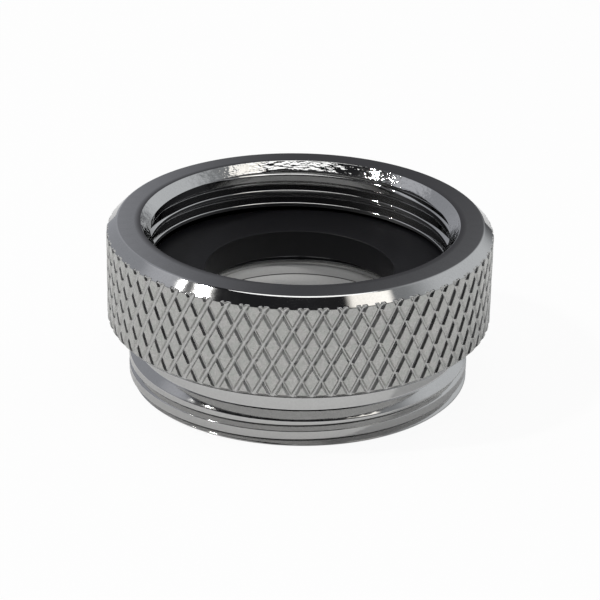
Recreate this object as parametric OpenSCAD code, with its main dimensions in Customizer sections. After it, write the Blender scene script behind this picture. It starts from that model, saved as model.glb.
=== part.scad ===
// Aerator adapter: a turned, knurled ring with a female thread above, a male
// thread below and a flat sealing washer on the seat between them.
// The base of the male end is at z = 0 and the axis is +Z.

/* [Collar] */
// Outside diameter of the knurled collar
collar_d = 27; // [26.5:0.1:29]
// Height of the collar, from the rim to the lower end of its knurl
collar_h = 6.95; // [6.5:0.05:9]
// Bevel from the rim down to the knurl
rim_bevel = 0.75; // [0.5:0.05:0.9]
// Bevel under the lower end of the knurl
back_bevel = 0.4; // [0.2:0.05:0.4]

/* [Knurl] */
// Grooves round the collar in each direction
knurl_lines = 65; // [50:1:70]
// Angle of the grooves from the axis, in degrees
knurl_angle = 28.25; // [20:0.25:35]
// Depth of a groove
knurl_depth = 0.2; // [0.12:0.01:0.24]
// Angle between the two walls of a groove, in degrees
knurl_vee = 96; // [80:1:100]
// Turn of the groove crossings from the +X side, as a share of a groove's pitch
knurl_turn = 0.48; // [0:0.02:1]
// How far the lowest row of crossings lies below the collar's knurled wall
knurl_drop = 0.23; // [0:0.01:0.4]

/* [Threads] */
// Pitch of both threads
thread_pitch = 1; // [0.75:0.05:1.25]
// Nominal diameter of the female thread
female_d = 22; // [21.5:0.1:22.4]
// Depth of the female thread, from the rim to its relief groove
female_run = 3.5; // [3:0.1:4.5]
// How much wider than the nominal diameter the female thread's mouth is
mouth_extra = 0.26; // [0.1:0.02:0.4]
// Nominal diameter of the male thread
male_d = 24; // [23.6:0.1:24.8]
// Length of the male end, from the collar to its base
male_h = 4.25; // [3.5:0.05:7]
// Diameter of the neck between the collar and the male thread
neck_d = 22.9; // [22.4:0.1:23.4]
// Height of the neck, down to the bevel where the male thread starts
neck_h = 1.75; // [1:0.05:2.2]
// Bevel round the base of the male end
male_bevel = 0.2; // [0.1:0.05:0.4]

/* [Waterway] */
// Diameter of the hole through the web
way_d = 14.7; // [14:0.1:16]
// Thickness of the web that carries the washer
web_h = 1.65; // [1.2:0.05:2]
// Bevel round the lower edge of the hole
way_bevel = 0.2; // [0.1:0.05:0.3]
// Diameter of the recess in the male end
outlet_d = 19.2; // [18:0.1:20]
// Bevel round the mouth of the recess
outlet_bevel = 0.3; // [0.1:0.05:0.5]

/* [Washer] */
// Diameter of the hole in the washer
washer_hole_d = 13.3; // [12:0.1:14]
// Thickness of the washer
washer_h = 2; // [1.5:0.1:2.5]
// Gap between the washer's rim and the wall of the relief groove
washer_side_gap = 0.35; // [0.2:0.05:0.5]
// Height of the relief groove above the washer
washer_top_gap = 0.25; // [0.1:0.05:0.5]
// How much wider than the nominal diameter the relief groove is
relief_extra = 0.3; // [0.1:0.05:0.5]

/* [Hidden] */
$fn = 96;

// Depth of an internal thread, as a share of its pitch
thread_depth_ratio = 0.5413;

// Heights above the base of the male end
z_back = male_h;
z_neck = z_back - neck_h;
z_knurl = z_back + back_bevel;
z_rim = z_knurl + collar_h;
z_relief = z_rim - female_run;
z_seat = z_relief - washer_top_gap - washer_h;
z_web = z_seat - web_h;

// Radii
collar_r = collar_d / 2;
rim_r = collar_r - rim_bevel;
mouth_r = (female_d + mouth_extra) / 2;
bore_r = female_d / 2 - thread_depth_ratio * thread_pitch;
relief_r = (female_d + relief_extra) / 2;
way_r = way_d / 2;
outlet_r = outlet_d / 2;
male_r = male_d / 2;
neck_r = neck_d / 2;
washer_r = relief_r - washer_side_gap;

// The grooves' pitch round the collar in degrees, and the height from one row of
// crossings to the next, where the grooves have moved on by half a pitch
groove_pitch = 360 / knurl_lines;
row_h = PI * collar_r / knurl_lines / tan(knurl_angle);
z_crossing = z_knurl - knurl_drop;

// The knurl's cutter is a sleeve round the collar. Its inside is the knurl, with teeth
// that end just outside the lands, and it runs past the collar above and below.
cutter_lift = 0.05;
cutter_skin = 0.6;
tooth_share = 1 - (knurl_depth + cutter_lift) * tan(knurl_vee / 2)
  / (PI * collar_r / knurl_lines * cos(knurl_angle));
row_lo = -2;
row_hi = ceil((z_rim - z_crossing) / row_h) + 1;

// The turned blank, as one closed outline from the base up and back inside
module blank_section() {
  polygon([
    [outlet_r + outlet_bevel, 0],
    [male_r - male_bevel, 0],
    [male_r, male_bevel],
    [male_r, z_neck - (male_r - neck_r)],
    [neck_r, z_neck],
    [neck_r, z_back],
    [collar_r - back_bevel, z_back],
    [collar_r, z_knurl],
    [collar_r, z_rim - rim_bevel],
    [rim_r, z_rim],
    [mouth_r, z_rim],
    [bore_r, z_rim - (mouth_r - bore_r)],
    [bore_r, z_relief],
    [relief_r, z_relief],
    [relief_r, z_seat],
    [way_r, z_seat],
    [way_r, z_web + way_bevel],
    [way_r + way_bevel, z_web],
    [outlet_r, z_web],
    [outlet_r, outlet_bevel]
  ]);
}

// A point of the knurl: half pitches round from the first crossing, rows up from the
// lowest row, and the radius
function knurl_point(half, row, r) =
  let (turn = (half / 2 + knurl_turn) * groove_pitch)
  [r * cos(turn), r * sin(turn), z_crossing + row * row_h];

// Two grooves cross where the half pitches and the rows are both even or both odd, and
// every other place is the middle of a land
function odd(count) = abs(count) % 2;

// The grooves in both directions, as one closed sleeve
module knurl_cutter() {
  lines = knurl_lines;
  halves = 2 * lines;
  corners = [[1, 0], [0, 1], [-1, 0], [0, -1]];

  crossings = [
    for (row = [row_lo : row_hi])
      for (line = [0 : lines - 1])
        knurl_point(2 * line + odd(row), row, collar_r - knurl_depth)
  ];
  teeth = [
    for (row = [row_lo + 1 : row_hi - 1])
      for (line = [0 : lines - 1])
        for (corner = tooth_share * corners)
          knurl_point(2 * line + 1 + odd(row) + corner[0], row + corner[1], collar_r + cutter_lift)
  ];
  skin = [
    for (row = [row_lo, row_hi])
      for (half = [0 : halves - 1])
        knurl_point(half, end_row(row, half), collar_r + cutter_skin)
  ];
  teeth_at = len(crossings);
  skin_at = teeth_at + len(teeth);

  // A row's zigzag end: the crossings of the end row, and of the next row inwards
  function end_row(row, half) = row + (odd(row) == odd(half) ? 0 : row == row_lo ? 1 : -1);
  function crossing_at(half, row) =
    (row - row_lo) * lines + floor(((half + halves) % halves - odd(row)) / 2);
  function end_at(half, row) = crossing_at(half, end_row(row, half % halves));
  function skin_index(half, row) = skin_at + (row == row_lo ? 0 : halves) + half % halves;

  walls = [
    for (row = [row_lo + 1 : row_hi - 1])
      for (line = [0 : lines - 1])
        let (
          half = 2 * line + 1 + odd(row),
          tooth = teeth_at + 4 * ((row - row_lo - 1) * lines + line),
          ends = [for (corner = corners) crossing_at(half + corner[0], row + corner[1])]
        )
        each [
          for (side = [0 : 3])
            let (next = (side + 1) % 4)
            each [
              [ends[side], ends[next], tooth + next],
              [ends[side], tooth + next, tooth + side]
            ],
          [tooth, tooth + 1, tooth + 3],
          [tooth + 1, tooth + 2, tooth + 3]
        ]
  ];
  rest = [
    for (half = [0 : halves - 1])
      let (next = half + 1)
      each [
        [end_at(next, row_lo), end_at(half, row_lo), skin_index(next, row_lo)],
        [end_at(half, row_lo), skin_index(half, row_lo), skin_index(next, row_lo)],
        [end_at(half, row_hi), end_at(next, row_hi), skin_index(next, row_hi)],
        [end_at(half, row_hi), skin_index(next, row_hi), skin_index(half, row_hi)],
        [skin_index(next, row_lo), skin_index(half, row_lo), skin_index(next, row_hi)],
        [skin_index(half, row_lo), skin_index(half, row_hi), skin_index(next, row_hi)]
      ]
  ];
  polyhedron(points = concat(crossings, teeth, skin), faces = concat(walls, rest));
}

module adapter_body() {
  color([0.75, 0.76, 0.74])
    difference() {
      rotate_extrude()
        blank_section();
      knurl_cutter();
    }
}

module sealing_washer() {
  color([0.1, 0.1, 0.11])
    translate([0, 0, z_seat])
      difference() {
        cylinder(h = washer_h, r = washer_r);
        translate([0, 0, -washer_h])
          cylinder(h = 3 * washer_h, d = washer_hole_d);
      }
}

adapter_body();
sealing_washer();
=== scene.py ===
import math
from collections import namedtuple

import bmesh
import bpy
from mathutils import Matrix, Vector

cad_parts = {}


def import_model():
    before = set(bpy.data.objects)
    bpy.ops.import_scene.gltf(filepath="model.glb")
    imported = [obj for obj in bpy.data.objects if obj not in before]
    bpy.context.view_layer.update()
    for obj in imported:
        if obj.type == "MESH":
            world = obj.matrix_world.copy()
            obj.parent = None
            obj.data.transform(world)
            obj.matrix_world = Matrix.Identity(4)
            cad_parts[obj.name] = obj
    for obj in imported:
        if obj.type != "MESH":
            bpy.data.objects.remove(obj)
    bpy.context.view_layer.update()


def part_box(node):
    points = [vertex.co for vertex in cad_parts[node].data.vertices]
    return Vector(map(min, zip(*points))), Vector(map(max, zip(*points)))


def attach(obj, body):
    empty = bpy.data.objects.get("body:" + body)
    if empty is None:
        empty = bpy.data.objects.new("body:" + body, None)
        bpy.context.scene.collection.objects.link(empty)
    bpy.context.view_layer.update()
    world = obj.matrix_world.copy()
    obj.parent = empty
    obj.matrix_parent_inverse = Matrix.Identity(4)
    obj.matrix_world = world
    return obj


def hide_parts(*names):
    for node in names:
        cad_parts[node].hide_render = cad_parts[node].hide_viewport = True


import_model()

# Lengths are in millimetres, as in the part's source. Turns round the axis are in
# radians, and the directions of lights and camera in degrees.
MM = 0.001
TURN = 2 * math.pi

body_low, body_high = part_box("adapter_body")
washer_low, washer_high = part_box("sealing_washer")
COLLAR_R = body_high[0] / MM
Z_RIM = body_high[2] / MM
Z_SEAT = washer_low[2] / MM
WASHER_R = washer_high[0] / MM
WASHER_TOP = washer_high[2] / MM

# The collar and its rim, whose top rises by a crown to a radius inside
RIM_BEVEL = 0.75
RIM_CROWN = 0.06
RIM_TOP_R = 11.6
BACK_BEVEL = 0.4
Z_KNURL = 4.65
Z_BACK = Z_KNURL - BACK_BEVEL

# The female end, from its mouth down to the seat
MOUTH_R = 11.13
FEMALE_R = 11.0
Z_RELIEF = 8.1
RELIEF_R = 11.15
WASHER_HOLE_R = 6.65

# The web's hole and the recess under it
WAY_R = 7.35
WAY_BEVEL = 0.1
Z_WEB = 4.05
OUTLET_R = 9.6
OUTLET_BEVEL = 0.3

# The male end
MALE_R = 12.0
MALE_BEVEL = 0.2
NECK_R = 11.45
Z_NECK = 2.5

# The knurl: its layout round the collar and its two families of grooves
KNURL_LINES = 65
KNURL_ANGLE = math.radians(28.25)
KNURL_TURN = 0.48
KNURL_DROP = 0.23
Z_CROSSING = Z_KNURL - KNURL_DROP
ROW_H = math.pi * COLLAR_R / KNURL_LINES / math.tan(KNURL_ANGLE)
GROOVE_SPACING = TURN * COLLAR_R / KNURL_LINES * math.cos(KNURL_ANGLE)
Groove = namedtuple("Groove", "depth half_width half_floor")
LEFT_GROOVE = Groove(0.16, 0.2, 0.0)
RIGHT_GROOVE = Groove(0.2, 0.25, 0.045)
LAND_EDGE = 0.02
# Heights where the grooves start to run out and where they have gone, and the height
# above which the rim's bevel is clear of them
Z_RUN_OUT = (Z_RIM - 0.84, Z_RIM - 0.5)
Z_CLEAR = Z_RIM - 0.62
# Mesh lines across each groove, as shares of its half width
GROOVE_STEPS = [0, 0.25, 0.5, 0.75, 1]

# The threads: both are right-hand, and root_z is the height of a groove's middle at the
# front. The floor is half the width of the groove's flat floor, in pitches, flank is the
# slope of its sides, and root and edge round the corners in it and beside it. run_out
# has the heights where it starts to run out and where it has gone. steps are the mesh
# lines across half a pitch, as shares of the pitch.
FRONT = -math.pi / 2
Thread = namedtuple("Thread", "root_z pitch depth floor flank root edge run_out steps")
PITCH = 1.0
FEMALE_DEPTH = 0.5413 * PITCH
BORE_R = FEMALE_R - FEMALE_DEPTH
FEMALE = Thread(
    root_z=10.355,
    pitch=PITCH,
    depth=FEMALE_DEPTH,
    floor=0.0625,
    flank=FEMALE_DEPTH / (0.3125 * PITCH),
    root=0.03,
    edge=0.035,
    run_out=(10.5, 11.0),
    steps=[0, 0.0325, 0.0625, 0.0925, 0.22, 0.345, 0.375, 0.405, 0.5],
)
MALE = Thread(
    root_z=0.35,
    pitch=1.07,
    depth=0.38,
    floor=0.02,
    flank=1.73,
    root=0.05,
    edge=0.05,
    run_out=(1.75, 2.1),
    steps=[0, 0.03, 0.06, 0.12, 0.185, 0.21, 0.235, 0.265, 0.3, 0.5],
)

# Mesh columns round the threads and the turned surfaces
COLUMNS = 240
# Radii are taken from outlines this many times finer than those that the meshes are cut
# by, so that the shading of the rounded corners is smooth
FINER = 8


def share_of(value, start, end):
    """Where a value lies from start to end, from 0 to 1."""
    return min(max((value - start) / (end - start), 0), 1)


def soften(corners, finer=1):
    """The outline through corners, given as (radius, height, rounding, steps): each is
    replaced by an arc that touches both sides, in so many steps or finer."""
    places = [corner[:2] for corner in corners]
    out = [places[0]]
    for before, corner, after in zip(places, corners[1:-1], places[2:]):
        rounding, steps = corner[2], corner[3] * finer
        if rounding == 0:
            out.append(corner[:2])
            continue
        at = Vector(corner[:2])
        to_before = (Vector(before) - at).normalized()
        to_after = (Vector(after) - at).normalized()
        half = to_before.angle(to_after) / 2
        centre = at + (to_before + to_after).normalized() * rounding / math.sin(half)
        reach = rounding / math.tan(half)
        first = at + to_before * reach - centre
        last = at + to_after * reach - centre
        for i in range(steps + 1):
            spoke = first.slerp(last, i / steps).normalized() * rounding
            out.append(tuple(centre + spoke))
    out.append(places[-1])
    return out


def at_height(outline, z):
    """The radius of an outline whose points climb, at a height."""
    for (r0, z0), (r1, z1) in zip(outline, outline[1:]):
        if z <= z1:
            share = (z - z0) / (z1 - z0) if z1 > z0 else 0
            return r0 + (r1 - r0) * share
    return outline[-1][0]


def soft_positive(x, soft):
    """x where it is positive and 0 where it isn't, with the corner rounded."""
    if x <= -soft:
        return 0.0
    if x >= soft:
        return x
    return (x + soft) ** 2 / (4 * soft)


# Outlines for the three surfaces that carry a pattern. Their first and last corners only
# give a direction, apart from the rim's top, where the collar ends.
collar_corners = [
    (NECK_R, Z_BACK, 0, 0),
    (COLLAR_R - BACK_BEVEL, Z_BACK, 0.05, 1),
    (COLLAR_R, Z_KNURL, 0.06, 1),
    (COLLAR_R, Z_RIM - RIM_BEVEL, 0.1, 2),
    (COLLAR_R - RIM_BEVEL + Z_RIM - Z_CLEAR, Z_CLEAR, 0, 0),
    (COLLAR_R - RIM_BEVEL + RIM_CROWN, Z_RIM - RIM_CROWN, 0.25, 3),
    (RIM_TOP_R, Z_RIM, 0, 0),
]
collar_cuts = soften(collar_corners)[1:]
collar_shape = soften(collar_corners, FINER)[1:]

male_corners = [
    (OUTLET_R + OUTLET_BEVEL, 0, 0, 0),
    (MALE_R - MALE_BEVEL, 0, 0.05, 1),
    (MALE_R, MALE_BEVEL, 0.05, 2),
    (MALE_R, Z_NECK - (MALE_R - NECK_R), 0.13, 2),
    (NECK_R, Z_NECK, 0.22, 3),
    (NECK_R, Z_BACK, 0.1, 1),
    (COLLAR_R - BACK_BEVEL, Z_BACK, 0, 0),
]
male_cuts = soften(male_corners)[1:-1]
male_shape = soften(male_corners, FINER)[1:-1]

bore_corners = [
    (RELIEF_R, Z_RELIEF, 0, 0),
    (BORE_R, Z_RELIEF, 0.04, 2),
    (BORE_R, Z_RIM - (MOUTH_R - BORE_R), 0.04, 2),
    (MOUTH_R, Z_RIM, 0.08, 3),
    (RIM_TOP_R, Z_RIM, 0, 0),
]
bore_cuts = soften(bore_corners)[1:-1]
bore_shape = soften(bore_corners, FINER)[1:-1]

# Outlines of the plain turned surfaces
seat_outline = soften(
    [
        (BORE_R, Z_RELIEF, 0, 0),
        (RELIEF_R, Z_RELIEF, 0.08, 2),
        (RELIEF_R, Z_SEAT, 0.08, 2),
        (WAY_R, Z_SEAT, 0.05, 2),
        (WAY_R, Z_WEB + WAY_BEVEL, 0, 0),
    ]
)[1:-1]
outlet_outline = soften(
    [
        (WAY_R, Z_SEAT, 0, 0),
        (WAY_R, Z_WEB + WAY_BEVEL, 0.04, 2),
        (WAY_R + WAY_BEVEL, Z_WEB, 0.04, 2),
        (OUTLET_R, Z_WEB, 0.15, 2),
        (OUTLET_R, OUTLET_BEVEL, 0.04, 2),
        (OUTLET_R + OUTLET_BEVEL, 0, 0.04, 2),
        (MALE_R - MALE_BEVEL, 0, 0, 0),
    ]
)[1:-1]
washer_outline = soften(
    [
        ((WASHER_HOLE_R + WASHER_R) / 2, Z_SEAT, 0, 0),
        (WASHER_R, Z_SEAT, 0.06, 3),
        (WASHER_R, WASHER_TOP, 0.06, 3),
        (WASHER_HOLE_R, WASHER_TOP, 0.06, 3),
        (WASHER_HOLE_R, Z_SEAT, 0.06, 3),
        ((WASHER_HOLE_R + WASHER_R) / 2, Z_SEAT, 0, 0),
    ]
)[1:-1]


def knurl_counts(turn, z):
    """Where a point lies across both families of grooves, in pitches."""
    halves = 2 * (turn / TURN * KNURL_LINES - KNURL_TURN)
    rows = (z - Z_CROSSING) / ROW_H
    return (halves + rows) / 2, (halves - rows) / 2


def groove_depth(pitches, groove):
    """Depth of a family of knurl grooves at a place counted in groove pitches: a trough
    with rounded corners."""
    away = abs(pitches - round(pitches)) * GROOVE_SPACING
    share = share_of(away, groove.half_floor, groove.half_width)
    return groove.depth * (1 + math.cos(math.pi * share)) / 2


def collar_radius(turn, z):
    first, second = knurl_counts(turn, z)
    a = groove_depth(first, LEFT_GROOVE)
    b = groove_depth(second, RIGHT_GROOVE)
    starts, gone = Z_RUN_OUT
    left = share_of(z, gone, starts)
    depth = (b + soft_positive(a - b, LAND_EDGE)) * left * left * (3 - 2 * left)
    blank = at_height(collar_shape, z)
    return blank - soft_positive(blank - (COLLAR_R - depth), LAND_EDGE / 2)


def thread_depth(thread, turn, z):
    """How deep a thread's groove is at a place, from the crests. Beside the groove, and
    where it has run out, this is below 0."""
    climb = (z - thread.root_z) / thread.pitch - ((turn - FRONT) % TURN) / TURN
    above = climb - round(climb)
    side = soft_positive((abs(above) - thread.floor) * thread.pitch, thread.root) * thread.flank
    out = share_of(z - above * thread.pitch, *thread.run_out)
    return thread.depth - side - out * (thread.depth + thread.edge)


def male_radius(turn, z):
    blank = at_height(male_shape, z)
    thread = MALE_R - thread_depth(MALE, turn, z)
    return blank - soft_positive(blank - thread, MALE.edge)


def bore_radius(turn, z):
    blank = at_height(bore_shape, z)
    thread = BORE_R + thread_depth(FEMALE, turn, z)
    return blank + soft_positive(thread - blank, FEMALE.edge)


def on_axis(r, turn, z):
    return Vector((r * math.cos(turn), r * math.sin(turn), z))


def turn_of(point):
    return math.atan2(point[1], point[0])


class Shell:
    """One closed mesh, made of sheets round the axis and of the rings between them."""

    def __init__(self):
        self.mesh = bmesh.new()
        self.normals = self.mesh.verts.layers.float_vector.new("shape_normal")

    def vertex(self, place, normal):
        vert = self.mesh.verts.new(place * MM)
        vert[self.normals] = normal
        return vert

    def ring(self, r, z, slope):
        """A level ring; slope is its normal as (outward, upward)."""
        out = []
        for i in range(COLUMNS):
            turn = i * TURN / COLUMNS - math.pi
            normal = on_axis(slope[0], turn, slope[1]).normalized()
            out.append((turn, self.vertex(on_axis(r, turn, z), normal)))
        return out

    def join(self, lower, upper):
        """Fills the strip between two rings, whatever their counts of vertices are."""
        i = j = 0
        while i < len(lower) or j < len(upper):
            low, low_next = lower[i % len(lower)], lower[(i + 1) % len(lower)]
            high, high_next = upper[j % len(upper)], upper[(j + 1) % len(upper)]
            low_turn = low_next[0] + TURN * ((i + 1) // len(lower))
            high_turn = high_next[0] + TURN * ((j + 1) // len(upper))
            if j >= len(upper) or (i < len(lower) and low_turn <= high_turn):
                self.mesh.faces.new((low[1], low_next[1], high[1]))
                i += 1
            else:
                self.mesh.faces.new((low[1], high_next[1], high[1]))
                j += 1

    def turned(self, outline):
        """Rings along an outline, joined. Returns the first and the last."""
        rings = []
        for i, (r, z) in enumerate(outline):
            before = Vector(outline[max(i - 1, 0)])
            after = Vector(outline[min(i + 1, len(outline) - 1)])
            along = after - before
            rings.append(self.ring(r, z, (along[1], -along[0])))
        for lower, upper in zip(rings, rings[1:]):
            self.join(lower, upper)
        return rings[0], rings[-1]

    def sheet(self, grid, faces, cuts, radius, outward):
        """A sheet of places (turn, z) on faces, cut level at each height of an outline
        and then set to its radius. Returns its lower and upper rings."""
        mesh = bmesh.new()
        middle = cuts[len(cuts) // 2][0]
        verts = {key: mesh.verts.new(on_axis(middle, *place)) for key, place in grid.items()}
        for face in faces:
            mesh.faces.new([verts[key] for key in face])
        near = 1e-5
        heights = sorted({round(z, 6) for r, z in cuts})
        for z in heights:
            bmesh.ops.bisect_plane(
                mesh,
                geom=mesh.verts[:] + mesh.edges[:] + mesh.faces[:],
                dist=near,
                plane_co=(0, 0, z),
                plane_no=(0, 0, 1),
                clear_inner=z == heights[0],
                clear_outer=z == heights[-1],
            )
        step = 1e-3
        moved = {}
        for vert in mesh.verts:
            turn, z = turn_of(vert.co), vert.co.z
            r = radius(turn, z)
            low, high = max(z - step, heights[0]), min(z + step, heights[-1])
            up = (radius(turn, high) - radius(turn, low)) / (high - low)
            along = (radius(turn + step, z) - radius(turn - step, z)) / (2 * step * r)
            out = on_axis(1, turn, 0)
            normal = out - Vector((-out.y, out.x, 0)) * along - Vector((0, 0, up))
            moved[vert] = self.vertex(on_axis(r, turn, z), normal.normalized() * outward)
        for face in mesh.faces:
            self.mesh.faces.new([moved[vert] for vert in face.verts])
        ends = []
        for z in (heights[0], heights[-1]):
            level = [vert for vert in mesh.verts if abs(vert.co.z - z) < near]
            ends.append(sorted((turn_of(vert.co), moved[vert]) for vert in level))
        mesh.free()
        return ends

    def finish(self, name):
        bmesh.ops.recalc_face_normals(self.mesh, faces=self.mesh.faces[:])
        bmesh.ops.triangulate(self.mesh, faces=self.mesh.faces[:])
        self.mesh.verts.index_update()
        normals = [tuple(vert[self.normals]) for vert in self.mesh.verts]
        self.mesh.verts.layers.float_vector.remove(self.normals)
        data = bpy.data.meshes.new(name)
        self.mesh.to_mesh(data)
        self.mesh.free()
        data.polygons.foreach_set("use_smooth", [True] * len(data.polygons))
        data.normals_split_custom_set_from_vertices(normals)
        piece = bpy.data.objects.new(name, data)
        bpy.context.collection.objects.link(piece)
        return piece


def knurl_grid(z_low, z_high):
    """Mesh places along both families of grooves, a little past both heights."""
    def steps(groove):
        shares = [step * groove.half_width / GROOVE_SPACING for step in GROOVE_STEPS]
        return shares + [0.5] + [1 - share for share in shares[:0:-1]]

    left_steps = steps(LEFT_GROOVE)
    right_steps = steps(RIGHT_GROOVE)
    count = len(left_steps)
    around = KNURL_LINES * count

    def pitches(i, steps_of):
        return i // count + steps_of[i % count]

    spare = 0.1
    low = math.floor((z_low - Z_CROSSING) / ROW_H - spare) - 1
    high = math.ceil((z_high - Z_CROSSING) / ROW_H + spare) + 1
    grid = {}
    for first in range(around):
        for second in range(first - high * count, first - low * count + 1):
            left, right = pitches(first, left_steps), pitches(second, right_steps)
            turn = ((left + right) / 2 + KNURL_TURN) * TURN / KNURL_LINES
            grid[first, first - second] = (turn, Z_CROSSING + (left - right) * ROW_H)
    faces = []
    for first in range(around):
        for gap in range(low * count, high * count):
            after = (first + 1) % around
            face = [(first, gap), (after, gap + 1), (after, gap), (first, gap - 1)]
            if all(key in grid for key in face):
                faces.append(face)
    return grid, faces


def thread_grid(thread, z_low, z_high):
    """Mesh places along a thread, past both heights."""
    shares = thread.steps + [1 - share for share in thread.steps[::-1] if 0 < share < 0.5]
    lowest = math.floor((z_low - thread.root_z) / thread.pitch) - 2
    highest = math.ceil((z_high - thread.root_z) / thread.pitch) + 1
    rows = []
    for coil in range(lowest, highest + 1):
        rows += [thread.root_z + (coil + share) * thread.pitch for share in shares]
    grid = {}
    for row, z in enumerate(rows):
        for column in range(COLUMNS):
            climb = column / COLUMNS
            grid[row, column] = (FRONT + climb * TURN, z + climb * thread.pitch)
    faces = []
    for row in range(len(rows) - 1):
        for column in range(COLUMNS):
            after = (column + 1) % COLUMNS
            lift = len(shares) if after == 0 else 0
            face = [(row, column), (row + lift, after), (row + 1 + lift, after), (row + 1, column)]
            if all(key in grid for key in face):
                faces.append(face)
    return grid, faces


def adapter_body():
    shell = Shell()
    male_base, male_top = shell.sheet(*thread_grid(MALE, 0, Z_BACK), male_cuts, male_radius, 1)
    knurl_base, knurl_top = shell.sheet(*knurl_grid(Z_BACK, Z_RIM), collar_cuts, collar_radius, 1)
    bore_base, bore_top = shell.sheet(
        *thread_grid(FEMALE, Z_RELIEF, Z_RIM), bore_cuts, bore_radius, -1
    )
    seat_top, seat_end = shell.turned(seat_outline)
    way_top, base_end = shell.turned(outlet_outline)
    shell.join(base_end, male_base)
    shell.join(male_top, knurl_base)
    shell.join(knurl_top, bore_top)
    shell.join(bore_base, seat_top)
    shell.join(seat_end, way_top)
    return shell.finish("adapter_body_finished")


def sealing_washer():
    shell = Shell()
    first, last = shell.turned(washer_outline)
    shell.join(last, first)
    return shell.finish("sealing_washer_finished")


def node(tree, kind, **inputs):
    """A shader node with its properties and sockets set. A socket is named with _ for a
    space, or by its number as _0, and takes a value or another node's output."""
    new = tree.nodes.new(kind)
    for name, value in inputs.items():
        if hasattr(new, name):
            setattr(new, name, value)
            continue
        socket = new.inputs[int(name[1:])] if name[1:].isdigit() else new.inputs[name.replace("_", " ")]
        if isinstance(value, bpy.types.NodeSocket):
            tree.links.new(value, socket)
        else:
            socket.default_value = value
    return new


def combined(tree, operation, first, second):
    """Two numbers put together by a math node."""
    return node(tree, "ShaderNodeMath", operation=operation, _0=first, _1=second).outputs[0]


def share_between(tree, value, low, high, to_low=0.0, to_high=1.0):
    """A value mapped from one span to another, held at both ends."""
    made = node(
        tree, "ShaderNodeMapRange", Value=value, From_Min=low, From_Max=high, To_Min=to_low, To_Max=to_high
    )
    return made.outputs["Result"]


def past(tree, length, span):
    """0 where a length in metres is at the span's first value, in millimetres, or on its
    far side, 1 at its second, and a slope between them."""
    return share_between(tree, length, span[0] * MM, span[1] * MM)


def mixed_colour(tree, share, first, second):
    return node(tree, "ShaderNodeMix", data_type="RGBA", _0=share, _6=first, _7=second).outputs[2]


def noise(tree, place, texture):
    scale, detail = texture
    return node(tree, "ShaderNodeTexNoise", Vector=place, Scale=scale, Detail=detail).outputs["Fac"]


def new_material(name):
    made = bpy.data.materials.new(name)
    made.use_nodes = True
    return made, made.node_tree, made.node_tree.nodes["Principled BSDF"]


# Noise textures: cells in a metre, and detail
GRAIN = (7000.0, 3.0)
BURRS = (5000.0, 2.0)
BLOTCHES = (2500.0, 2.0)
PATCHES = (900.0, 3.0)
WAVES = (350.0, 2.0)
RUBBER_GRAIN = (4000.0, 3.0)

# Heights of the plating's waves, of the turning marks in the mouth and of its grain, and
# of the rubber's grain
WAVE_H = 0.006
BURR_H = 0.04
GRAIN_H = 0.01
RUBBER_GRAIN_H = 0.008
# Millimetres along the mouth's marks for each radian round it
BURR_LENGTH = 3.5

# Colours between which the grain varies, on smooth plate and on two kinds of blotch on
# the knurl's lands, and the colour of the painted shade in the male thread's roots and
# at the web's hole
BRIGHT = ((0.53, 0.53, 0.525, 1), (0.57, 0.57, 0.565, 1))
GREY = ((0.41, 0.425, 0.4, 1), (0.53, 0.535, 0.515, 1))
WARM = ((0.45, 0.44, 0.43, 1), (0.57, 0.565, 0.55, 1))
PAINTED_SHADE = (0.08, 0.08, 0.08, 1)
# How far the painted shade darkens the wall of the web's hole
WALL_SHADE = 0.3

# Roughness of smooth plate and of the knurl's skin, which patches vary
SMOOTH = (0.04, 0.08)
DUSTY = (0.24, 0.34)

# Where the plating's look changes, and where painted shade lies: from nothing at the
# first radius or height to fully at the second
ON_LANDS = (13.2, 13.46)
ON_KNURL = (13.1, 13.25)
UNDER_RIM_BEVEL = (Z_RIM - RIM_BEVEL + 0.03, Z_RIM - RIM_BEVEL)
# Masks of the painted shade: the male thread's roots, and the lower edge and wall of the web's hole
IN_MALE_ROOT = (11.7, 11.64)
OUTSIDE_OUTLET = (10.5, 10.6)
ON_MALE_THREAD = (1.9, 1.5)
IN_WAY = (7.65, 7.55)
AT_WEB_EDGE = (4.2, 4.17)
IN_MOUTH = (MOUTH_R + 0.08, MOUTH_R)
NEAR_RIM = (Z_RIM - 0.7, Z_RIM - 0.6)


def painted_shade_places(tree, radius, z):
    """Painted shade: the roots of the male thread, the lower edge of the web's hole, and its wall."""
    # Painted shade in the male thread's roots, where the narrow grooves lose the light
    root = combined(tree, "MULTIPLY", past(tree, radius, IN_MALE_ROOT), past(tree, z, ON_MALE_THREAD))
    root = combined(tree, "MULTIPLY", root, past(tree, radius, OUTSIDE_OUTLET))
    in_way = past(tree, radius, IN_WAY)
    # Painted shade: a dark line along the lower edge of the web's hole
    edge = combined(tree, "MULTIPLY", in_way, past(tree, z, AT_WEB_EDGE))
    # Painted shade over the wall of the web's hole, which reflects the dim recess below
    wall = combined(tree, "MULTIPLY", in_way, WALL_SHADE)
    return combined(tree, "MAXIMUM", combined(tree, "MAXIMUM", root, edge), wall)


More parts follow.
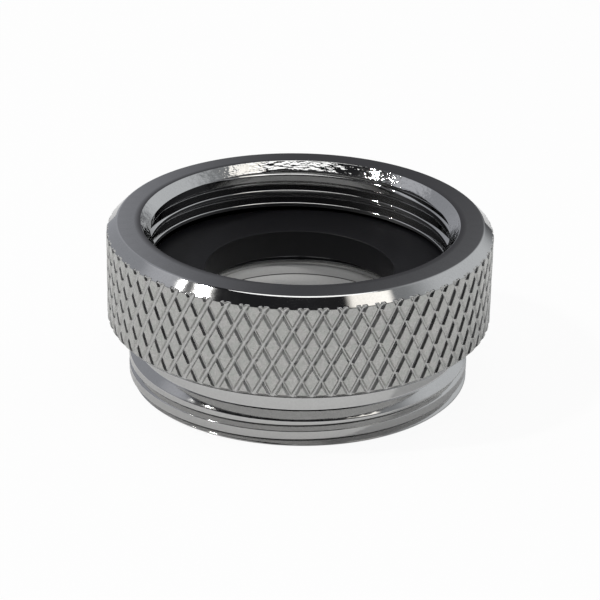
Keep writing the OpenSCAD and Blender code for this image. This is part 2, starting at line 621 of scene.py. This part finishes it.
def chrome():
    """Bright plate, with a duller and grainy skin on the knurl's lands, and painted shade in the male
    thread's roots and at the web's hole.
    """
    made, tree, shader = new_material("chrome_plate")
    shader.inputs["Metallic"].default_value = 1.0
    place = tree.nodes.new("ShaderNodeTexCoord").outputs["Object"]
    level = node(tree, "ShaderNodeVectorMath", operation="MULTIPLY", _0=place, _1=(1, 1, 0))
    radius = node(tree, "ShaderNodeVectorMath", operation="LENGTH", _0=level.outputs["Vector"])
    radius = radius.outputs["Value"]
    axes = node(tree, "ShaderNodeSeparateXYZ", _0=place).outputs
    z = axes["Z"]
    knurled = past(tree, z, UNDER_RIM_BEVEL)
    lands = combined(tree, "MULTIPLY", past(tree, radius, ON_LANDS), knurled)
    grain = noise(tree, place, GRAIN)

    speckle = share_between(tree, grain, 0.3, 0.7)
    blotch = share_between(tree, noise(tree, place, BLOTCHES), 0.35, 0.65)
    grey = mixed_colour(tree, speckle, *GREY)
    warm = mixed_colour(tree, speckle, *WARM)
    dull = mixed_colour(tree, blotch, grey, warm)
    plate = mixed_colour(tree, lands, mixed_colour(tree, speckle, *BRIGHT), dull)
    # Painted shade darkens the plate's colour in the thread's roots and at the web's hole
    colour = mixed_colour(tree, painted_shade_places(tree, radius, z), plate, PAINTED_SHADE)
    tree.links.new(colour, shader.inputs["Base Color"])

    patches = noise(tree, place, PATCHES)
    smooth = share_between(tree, patches, 0.3, 0.7, *SMOOTH)
    dusty = share_between(tree, patches, 0.3, 0.7, *DUSTY)
    skin = combined(tree, "MULTIPLY", past(tree, radius, ON_KNURL), knurled)
    rough = node(tree, "ShaderNodeMix", _0=skin, A=smooth, B=dusty)
    tree.links.new(rough.outputs["Result"], shader.inputs["Roughness"])

    turn = combined(tree, "ARCTAN2", axes["Y"], axes["X"])
    along = combined(tree, "MULTIPLY", turn, BURR_LENGTH * MM)
    marks = node(tree, "ShaderNodeCombineXYZ", X=along, Z=z).outputs[0]
    mouth = combined(tree, "MULTIPLY", past(tree, z, NEAR_RIM), past(tree, radius, IN_MOUTH))
    wavy = node(
        tree, "ShaderNodeBump", Height=noise(tree, place, WAVES), Strength=1.0, Distance=WAVE_H * MM
    )
    burred = node(
        tree,
        "ShaderNodeBump",
        Height=noise(tree, marks, BURRS),
        Strength=mouth,
        Distance=BURR_H * MM,
        Normal=wavy.outputs["Normal"],
    )
    fine = node(
        tree,
        "ShaderNodeBump",
        Height=grain,
        Strength=lands,
        Distance=GRAIN_H * MM,
        Normal=burred.outputs["Normal"],
    )
    tree.links.new(fine.outputs["Normal"], shader.inputs["Normal"])
    return made


def rubber():
    made, tree, shader = new_material("washer_rubber")
    shader.inputs["Base Color"].default_value = (0.006, 0.006, 0.0075, 1)
    shader.inputs["Roughness"].default_value = 0.45
    shader.inputs["IOR"].default_value = 1.35
    place = tree.nodes.new("ShaderNodeTexCoord").outputs["Object"]
    grain = noise(tree, place, RUBBER_GRAIN)
    bump = node(tree, "ShaderNodeBump", Height=grain, Strength=1.0, Distance=RUBBER_GRAIN_H * MM)
    tree.links.new(bump.outputs["Normal"], shader.inputs["Normal"])
    return made


def direction(azimuth, elevation):
    """A direction from the adapter. Azimuth 0 is +Y, away from the camera, and 90 is +X."""
    azimuth, elevation = math.radians(azimuth), math.radians(elevation)
    level = math.cos(elevation)
    return Vector((level * math.sin(azimuth), level * math.cos(azimuth), math.sin(elevation)))


# Broad soft panels of the studio: name, azimuth, elevation, how far from their middle
# they have faded and where they are full, and their light
PANELS = [
    ("left_wall", -52, 14, (51, 37), (0.36, 0.37, 0.4)),
    ("left_upper", -68, 46, (18, 7), (0.24, 0.24, 0.25)),
    ("right_softbox", 118, 58, (11, 7), (1.6, 1.54, 1.44)),
    ("right_wall", 57, 25, (40, 14), (0.42, 0.43, 0.44)),
    ("right_fill", 66, 26, (59, 34), (0.28, 0.29, 0.3)),
    ("left_side", -112, 0, (40, 14), (0.15, 0.15, 0.16)),
    ("right_side", 112, 0, (40, 14), (0.2, 0.2, 0.21)),
    ("back_wall", 0, 20, (40, 10), (0.06, 0.06, 0.065)),
]
ROOM_LIGHT = (0.02, 0.02, 0.022)
WHITE = (1, 1, 1, 1)


def world():
    """The studio's panels, and white where the camera sees past the floor."""
    made = bpy.data.worlds.new("studio")
    made.use_nodes = True
    tree = made.node_tree
    tree.nodes.clear()
    look = tree.nodes.new("ShaderNodeTexCoord").outputs["Generated"]
    total = ROOM_LIGHT
    for name, azimuth, elevation, (faded, full), light in PANELS:
        toward = direction(azimuth, elevation)
        near = node(tree, "ShaderNodeVectorMath", operation="DOT_PRODUCT", _0=look, _1=toward)
        share = node(
            tree,
            "ShaderNodeMapRange",
            interpolation_type="SMOOTHSTEP",
            Value=near.outputs["Value"],
            From_Min=math.cos(math.radians(faded)),
            From_Max=math.cos(math.radians(full)),
        )
        lit = node(
            tree, "ShaderNodeVectorMath", operation="SCALE", _0=light, Scale=share.outputs["Result"]
        )
        lit.label = name
        total = node(
            tree, "ShaderNodeVectorMath", operation="ADD", _0=lit.outputs[0], _1=total
        ).outputs[0]
    studio = node(tree, "ShaderNodeBackground", Color=total, Strength=1.0)
    white = node(tree, "ShaderNodeBackground", Color=WHITE, Strength=1.0)
    path = tree.nodes.new("ShaderNodeLightPath").outputs
    seen = combined(tree, "ADD", path["Is Camera Ray"], path["Is Transmission Ray"])
    mix = node(tree, "ShaderNodeMixShader", _0=seen, _1=studio.outputs[0], _2=white.outputs[0])
    node(tree, "ShaderNodeOutputWorld", Surface=mix.outputs[0])
    bpy.context.scene.world = made


# The lamps: name, azimuth, elevation, distance, width and height, watts, colour
LAMPS = [
    ("left_lamp", -104, 51, 600, (27, 62), 1.4, (1.0, 0.99, 0.97)),
    ("small_lamp", -91, 45, 600, (12, 30), 0.1, (1.0, 0.99, 0.97)),
    ("ceiling", 90, 88.5, 600, (480, 480), 1.12, (1.0, 1.0, 1.0)),
]


def lamps():
    for name, azimuth, elevation, distance, (width, height), watts, colour in LAMPS:
        light = bpy.data.lights.new(name, "AREA")
        light.shape = "ELLIPSE"
        light.size = width * MM
        light.size_y = height * MM
        light.energy = watts
        light.color = colour
        lamp = bpy.data.objects.new(name, light)
        toward = direction(azimuth, elevation)
        lamp.location = toward * distance * MM
        lamp.rotation_euler = toward.to_track_quat("Z", "Y").to_euler()
        bpy.context.collection.objects.link(lamp)


# How much of the floor's own white the camera and the reflections see; the rest is lit
# paper, which keeps the adapter's shadow
WHITE_TO_CAMERA = 0.94
WHITE_REFLECTED = 0.12
# Half the floor's side, and its place just under the adapter's base
FLOOR_REACH = 110
FLOOR_Z = -0.01


def floor_paper():
    made, tree, shader = new_material("floor_paper")
    shader.inputs["Base Color"].default_value = (0.9, 0.9, 0.9, 1)
    shader.inputs["Roughness"].default_value = 0.9
    path = tree.nodes.new("ShaderNodeLightPath").outputs
    seen = combined(tree, "MULTIPLY", path["Is Camera Ray"], WHITE_TO_CAMERA)
    other = combined(tree, "ADD", path["Is Glossy Ray"], path["Is Transmission Ray"])
    reflected = combined(tree, "MULTIPLY", other, WHITE_REFLECTED)
    shown = combined(tree, "ADD", reflected, seen)
    white = node(tree, "ShaderNodeEmission", Color=WHITE, Strength=1.0)
    mix = node(
        tree,
        "ShaderNodeMixShader",
        _0=shown,
        _1=shader.outputs["BSDF"],
        _2=white.outputs["Emission"],
    )
    tree.links.new(mix.outputs["Shader"], tree.nodes["Material Output"].inputs["Surface"])
    return made


def floor():
    data = bpy.data.meshes.new("floor")
    sides = [(-1, -1), (1, -1), (1, 1), (-1, 1)]
    corners = [(x * FLOOR_REACH * MM, y * FLOOR_REACH * MM, FLOOR_Z * MM) for x, y in sides]
    data.from_pydata(corners, [], [(0, 1, 2, 3)])
    data.materials.append(floor_paper())
    piece = bpy.data.objects.new("floor", data)
    bpy.context.collection.objects.link(piece)


# The photograph's viewpoint, from a fit of a pinhole camera to the adapter's circles
CAMERA_AT = (0.08, -158.53, 78.11)
CAMERA_DOWN = math.radians(24.642)
CAMERA_ROLL = math.radians(1.126)
SENSOR = 36.0
LENS = 148.02
CLIP_START = 10


def camera():
    data = bpy.data.cameras.new("camera")
    data.sensor_width = SENSOR
    data.lens = LENS
    data.clip_start = CLIP_START * MM
    piece = bpy.data.objects.new("camera", data)
    tilt = Matrix.Rotation(math.pi / 2 - CAMERA_DOWN, 4, "X")
    roll = Matrix.Rotation(CAMERA_ROLL, 4, "Z")
    piece.matrix_world = Matrix.Translation(Vector(CAMERA_AT) * MM) @ tilt @ roll
    bpy.context.collection.objects.link(piece)
    bpy.context.scene.camera = piece


camera()
body = adapter_body()
body.data.materials.append(chrome())
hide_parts("adapter_body")
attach(body, "root")

washer = sealing_washer()
washer.data.materials.append(rubber())
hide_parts("sealing_washer")
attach(washer, "root")

floor()
world()
lamps()
bpy.context.scene.view_settings.view_transform = "Standard"
